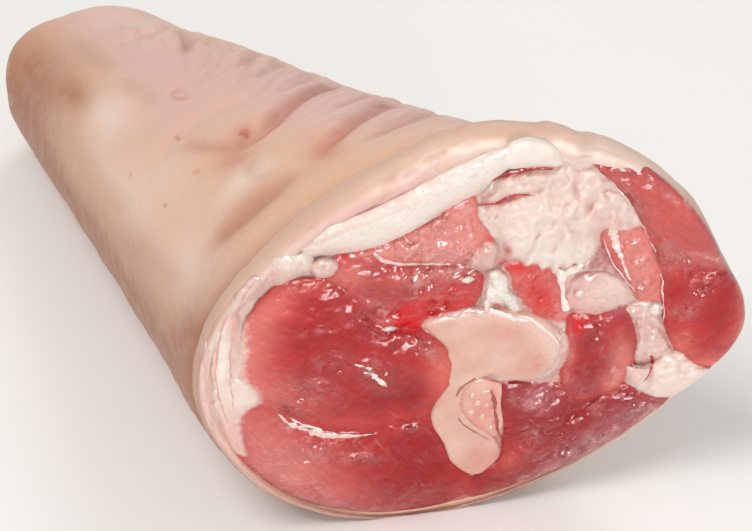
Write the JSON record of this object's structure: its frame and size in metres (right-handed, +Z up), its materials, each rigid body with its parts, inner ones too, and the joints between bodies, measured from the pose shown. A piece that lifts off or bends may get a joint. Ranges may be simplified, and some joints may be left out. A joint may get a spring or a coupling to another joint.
{
  "type": "salted pork hock",
  "caption": "Raw salted pork hock lying on its side: a tapered barrel in wrinkled rind, sawn across the thick end to show muscle, fat seams and the shank bones.",
  "frame": {"origin": "middle of the underside of the bounding box, on the surface that the hock lies on", "axes": "+X along the barrel from the thin end to the big cut, +Z up"},
  "size_m": [0.2116, 0.1178, 0.1205],
  "materials": {
    "rind_and_meat": "satin, moist",
    "bone": "satin",
    "marrow_bone": "moist"
  },
  "bodies": {
    "root": {"hock_meat": "rind_and_meat", "shank_bone": "bone", "small_bone": "marrow_bone"}
  },
  "joints": []
}
